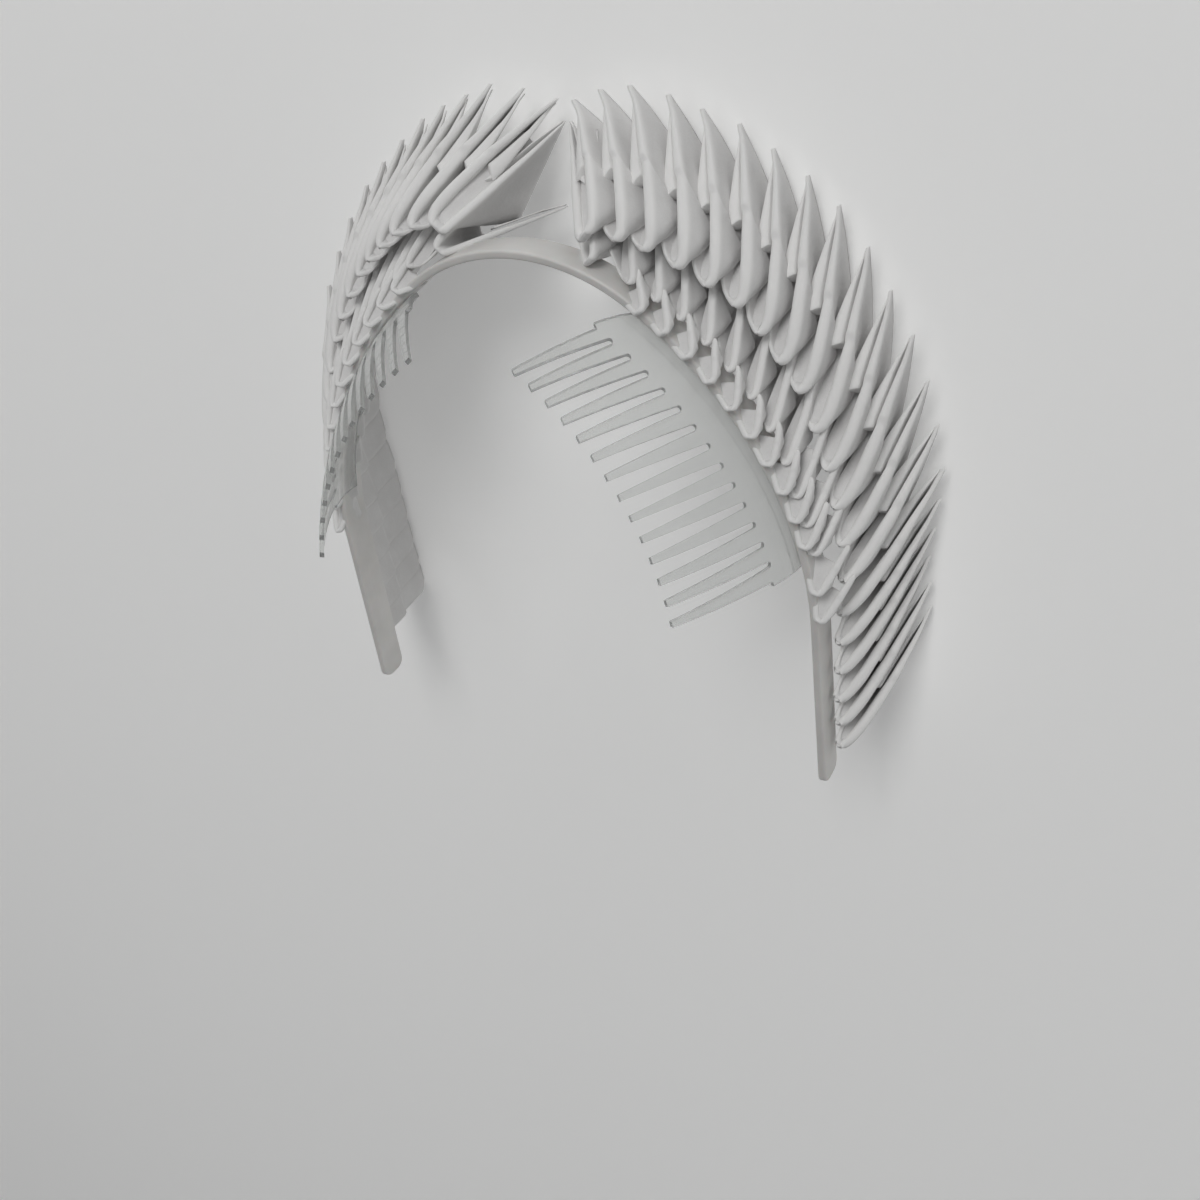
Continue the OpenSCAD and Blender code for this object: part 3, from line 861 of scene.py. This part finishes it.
def flap_mesh(mesh, page, leaf, size, bow, rng, room, side=1):
    """The tail flap on a page's inner side, joined along the edge from the tip to the spine's end."""
    facing = page.facing * side
    stand = FLAP_STAND * size * (FLAP_STAND_SHARE + (1 - FLAP_STAND_SHARE) * room)
    stand *= rng.uniform(*FLAP_STAND_RANGE)
    slit = size * (FLAP_SLIT + FLAP_SLIT_MORE * room)
    low_x = leaf * rng.uniform(*FLAP_START)
    long = leaf * FLAP_END - low_x
    end = FLAP_CAP_LENGTH * size
    low = FLAP_EDGE * size
    shares = [1 - j / FLAP_POINTS * FLAP_THINS for j in range(FLAP_POINTS)]
    rings = []
    starts = [end * share for share in FLAP_CAP]
    for d in starts + [end + (long - end) * i / FLAP_RINGS for i in range(1, FLAP_RINGS + 1)]:
        x = low_x + d
        cap = math.sqrt(max(FLAP_CAP_LEAST, 1 - max(0.0, 1 - d / end) ** 2))
        taper = min(1.0, PAGE_TIP + 2 * (leaf - x) / (TAPER_LENGTH * size))
        top = stand * min(1.0, 2 * (1 - x / leaf)) ** FLAP_STAND_POWER + FLAP_LOW * size
        widest = low + FLAP_WIDENS * (d + size)
        deep = max(low + FLAP_LEAST, min(leaf - x - FLAP_LEAST, widest))
        points, halves = [], []
        for j, share in enumerate(shares):
            y = low + (deep - low) * j / (FLAP_POINTS - 1)
            face = FLAP_BASE * size * taper - bow * lookup(BOW_CURVE, (x - y) / leaf, 1)
            base = face + slit * min(1.0, (leaf - x - y) / (leaf - low_x) + FLAP_SLIT_SHARE)
            half = max(FLAP_LEAST_HALF, (max(top, base + FLAP_LEAST) - base) / 2 * share)
            points.append(page.bottom + page.tip * x + page.depth * y + facing * (base + half))
            halves.append(half * cap)
        ring = strip_ring(points, [facing] * FLAP_POINTS, halves, halves, FLAP_BULGE)
        shift = FLAP_SLANT * stand * max(0.0, 1 - d / (FLAP_SLANT_LENGTH * size)) ** 2
        moved = []
        for point in ring:
            across = (point - points[0]).dot(facing) * cap / (2 * halves[0]) + 0.5
            moved.append(point + page.tip * shift * (1 - min(1.0, max(0.0, across))))
        # Painted highlight along the flap's edge and rims, through the fold attribute
        fold = [math.exp(-((j / FLAP_LINE) ** 2)) for j in range(FLAP_POINTS)]
        folds = fold + [FLAP_RIM_FOLD] * RIM_STEPS + fold[::-1] + [1.0] * RIM_STEPS
        rings.append(mesh.ring(moved, folds))
    mesh.loft(rings, page.tip)


# The free pages of the first units: where the tip is, how far the page is rolled, its flap's room
OUTER_FREE = (Vector((0.4, 34.8, 110.1)), 26)
OUTER_FREE_ROOM = 0.8
MIDDLE_FREE = (Vector((0.5, 31.0, 90.4)), -13)
MIDDLE_FREE_ROOM = 0.5
# Where the bottom of a unit before the first outer one would be: towards the crown, and up the page
FREE_FLOOR = (5.2, 14)
# Small units: how far they open, in degrees, the free page's length and foot, the floor's level
# and foot
SMALL_OPENING = 42
SMALL_OPENING_RANGE = (0.85, 1.15)
SMALL_FREE_SHARE = 0.92
SMALL_FREE_SIZE = 0.6
SMALL_FLOOR = 0.28
SMALL_FLOOR_FOOT = 0.3


def small_unit(mesh, page, leaf, rng):
    """A small unit that stands open, with its left page free."""
    row = Row(leaf, SMALL_SIZE, SMALL_BOW, mouth=0, slit=SMALL_SLIT, tip=SMALL_TIP)
    opening = math.radians(SMALL_OPENING * rng.uniform(*SMALL_OPENING_RANGE))
    way = page.tip * math.cos(opening) + page.facing * math.sin(opening)
    free = FreePage(page, row.size * SMALL_FREE_SIZE, page.bottom + way * leaf * SMALL_FREE_SHARE, 0)
    Unit(page, None, row, row.bow, rng, free).build(mesh)
    spread = math.tan(opening) * math.sqrt(2) * SMALL_FREE_SHARE
    bend = ((0, SMALL_FLOOR_FOOT), (leaf, leaf * spread))
    floor_mesh(mesh, page, row, row.bow, leaf * SMALL_FLOOR, 0, bend)


# Distance between two pages at which a flap has the least room, and what it takes to have it all
ROOM_START = 2.2
ROOM_SPAN = 2.8
LEAST_ROOM = 0.3


def room_beside(page, before, leaf):
    """How much room a flap has beside the page before, up to 1."""
    if before is None:
        return 1.0
    middle = page.bottom + page.tip * leaf * 0.5
    distance = (before.bottom + before.tip * leaf * 0.5 - middle).dot(page.facing)
    return min(1.0, max(LEAST_ROOM, (distance - ROOM_START) / ROOM_SPAN))


SIDE_NAMES = {RIGHT: "right", LEFT: "left"}
SEED = 7


def outer_units(side, rng):
    """A wing's outer row, each unit a piece."""
    for k in range(OUTER_COUNT):
        mesh = Mesh()
        row = outer_row(k)
        page = outer_page(k)
        before = outer_page(k - 1) if k else None
        free = None if before else FreePage(page, row.size, *OUTER_FREE)
        bow = row.bow * rng.uniform(*BOW_RANGE)
        Unit(page, before, row, bow, rng, free).build(mesh)
        if before:
            pocket_floor(mesh, page, before.bottom - page.bottom, row, bow)
        else:
            beside = page.facing * FREE_FLOOR[0] + page.width * FREE_FLOOR[1]
            pocket_floor(mesh, page, beside, row, bow)
            flap_mesh(mesh, free, free.leaf, row.size, 0, rng, OUTER_FREE_ROOM, -1)
        flap_mesh(mesh, page, row.leaf, row.size, bow, rng, room_beside(page, before, row.leaf))
        node = "outer_%s_%02d" % (SIDE_NAMES[side], k)
        mesh.build("paper_" + node, side, PAPER, "paper", node)


def lower_units(side, rng, label, stations, whole):
    """A wing's middle or inner row as one piece; its units after the whole ones are small."""
    mesh = Mesh()
    for m in range(ROW_COUNT):
        page = lower_page(stations, m)
        if m >= whole:
            small_unit(mesh, page, lookup(stations, m, LEAF), rng)
            continue
        before = lower_page(stations, m - 1) if m else None
        free = None if before else FreePage(page, MIDDLE.size, *MIDDLE_FREE)
        bow = MIDDLE.bow * rng.uniform(*BOW_RANGE)
        Unit(page, before, MIDDLE, bow, rng, free).build(mesh)
        if before:
            pocket_floor(mesh, page, before.bottom - page.bottom, MIDDLE, bow)
        else:
            flap_mesh(mesh, free, free.leaf, MIDDLE.size, 0, rng, MIDDLE_FREE_ROOM, -1)
    node = "%s_%s" % (label, SIDE_NAMES[side])
    mesh.build("paper_" + node, side, PAPER, "paper", node)


for side in (RIGHT, LEFT):
    rng = random.Random(SEED + side)
    outer_units(side, rng)
    lower_units(side, rng, "middle", MIDDLE_STATIONS, MIDDLE_WHOLE)
    lower_units(side, rng, "inner", INNER_STATIONS, 0)


# Band and combs

BAND_CORNER = 0.7
LEG_CORNER = 2.5
CORNER_STEPS = 5
# Sections of a half of the band, and steps round the end of its leg
BAND_STEPS = 90
END_STEPS = 8


def band_section(arc, side, width):
    """Points round the band's section: a rectangle across the band with rounded corners."""
    flip = Vector((side, 1, 1))
    out = band_normal(arc) * flip
    middle = band_inner(arc) * flip + out * BAND_THICK / 2 + Vector((0, BAND_WIDTH / 2, 0))
    points = []
    for quarter in range(4):
        across = 1 if quarter in (0, 3) else -1
        up = 1 if quarter < 2 else -1
        centre = middle + Vector((0, across * (width / 2 - BAND_CORNER), 0))
        centre += out * up * (BAND_THICK / 2 - BAND_CORNER)
        for i in range(CORNER_STEPS + 1):
            a = math.pi / 2 * (quarter + i / CORNER_STEPS)
            points.append(centre + (Vector((0, math.cos(a), 0)) + out * math.sin(a)) * BAND_CORNER)
    return points


def band_piece():
    """The headband as one swept strip, ear to ear, with rounded edges and rounded ends."""
    mesh = Mesh()
    length = CROWN_ARC + SHOULDER_ARC + LEG_LENGTH
    arcs = [length * i / BAND_STEPS for i in range(BAND_STEPS)]
    arcs = [arc for arc in arcs if arc < length - LEG_CORNER]
    turns = (math.pi / 2 * i / END_STEPS for i in range(END_STEPS, -1, -1))
    arcs += [length - LEG_CORNER * (1 - math.cos(turn)) for turn in turns]
    stations = [(LEFT, arc) for arc in reversed(arcs)] + [(RIGHT, arc) for arc in arcs[1:]]
    rings = []
    for side, arc in stations:
        past = max(0.0, arc - (length - LEG_CORNER))
        narrow = 2 * (LEG_CORNER - math.sqrt(max(0.0, LEG_CORNER**2 - past**2)))
        points = band_section(arc, side, BAND_WIDTH - narrow)
        rings.append(mesh.ring(points, [0.0] * len(points)))
    mesh.loft(rings, Vector((1, 0, 0)))
    mesh.build("band_strip", RIGHT, PLASTIC, "band", "headband")


band_piece()
for name in ("comb_right", "comb_left"):
    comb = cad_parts[name]
    comb.data.materials.clear()
    comb.data.materials.append(CLEAR)


# Floor and light

# The floor and the wall that it rises to all round: radius and height in metres
STAGE_CURVE = ((1.2, 0), (2.4, 0), (2.75, 0.06), (3.05, 0.25), (3.24, 0.55), (3.3, 0.9), (3.3, 1.5))
STAGE_SIDES = 64
STAGE_GLOW = 0.18


def make_floor():
    mesh = bpy.data.meshes.new("floor")
    points = []
    for radius, height in STAGE_CURVE:
        for i in range(STAGE_SIDES):
            a = 2 * math.pi * i / STAGE_SIDES
            points.append((radius * math.cos(a), radius * math.sin(a), height))
    faces = [tuple(range(STAGE_SIDES))]
    for first in range(0, len(points) - STAGE_SIDES, STAGE_SIDES):
        second = first + STAGE_SIDES
        for i in range(STAGE_SIDES):
            j = (i + 1) % STAGE_SIDES
            faces.append((first + i, second + i, second + j, first + j))
    mesh.from_pydata(points, [], faces)
    mesh.shade_smooth()
    floor = bpy.data.objects.new("floor", mesh)
    bpy.context.scene.collection.objects.link(floor)
    material, shader = new_material("floor", (0.95, 0.95, 0.94), 0.7)
    shader.inputs["Emission Color"].default_value = (1, 1, 1, 1)
    shader.inputs["Emission Strength"].default_value = STAGE_GLOW
    mesh.materials.append(material)


make_floor()


# The lights' distance in metres from the point that they are aimed at, and this point
LIGHT_DISTANCE = 1.8
LIGHT_TARGET = to_rest((0, 0, 30))


def area_light(name, worn_direction, size, power):
    data = bpy.data.lights.new(name, "AREA")
    data.shape = "DISK"
    data.size = size
    data.energy = power
    light = bpy.data.objects.new(name, data)
    bpy.context.scene.collection.objects.link(light)
    direction = (REST @ Vector(worn_direction)).normalized()
    light.location = LIGHT_TARGET + direction * LIGHT_DISTANCE
    light.rotation_euler = direction.to_track_quat("Z", "Y").to_euler()


CAMERA_RIGHT, CAMERA_UP, CAMERA_BACK = camera_axes()
area_light("key", CAMERA_BACK - CAMERA_RIGHT * 0.38 + CAMERA_UP * 0.28, size=0.8, power=10.4)
area_light("top", (0.05, -1, 0.25), size=1.4, power=3.8)

world = bpy.data.worlds.new("world")
world.use_nodes = True
world.node_tree.nodes["Background"].inputs["Color"].default_value = (0.9, 0.92, 0.95, 1)
world.node_tree.nodes["Background"].inputs["Strength"].default_value = 0.05
bpy.context.scene.world = world
bpy.context.scene.view_settings.view_transform = "Standard"
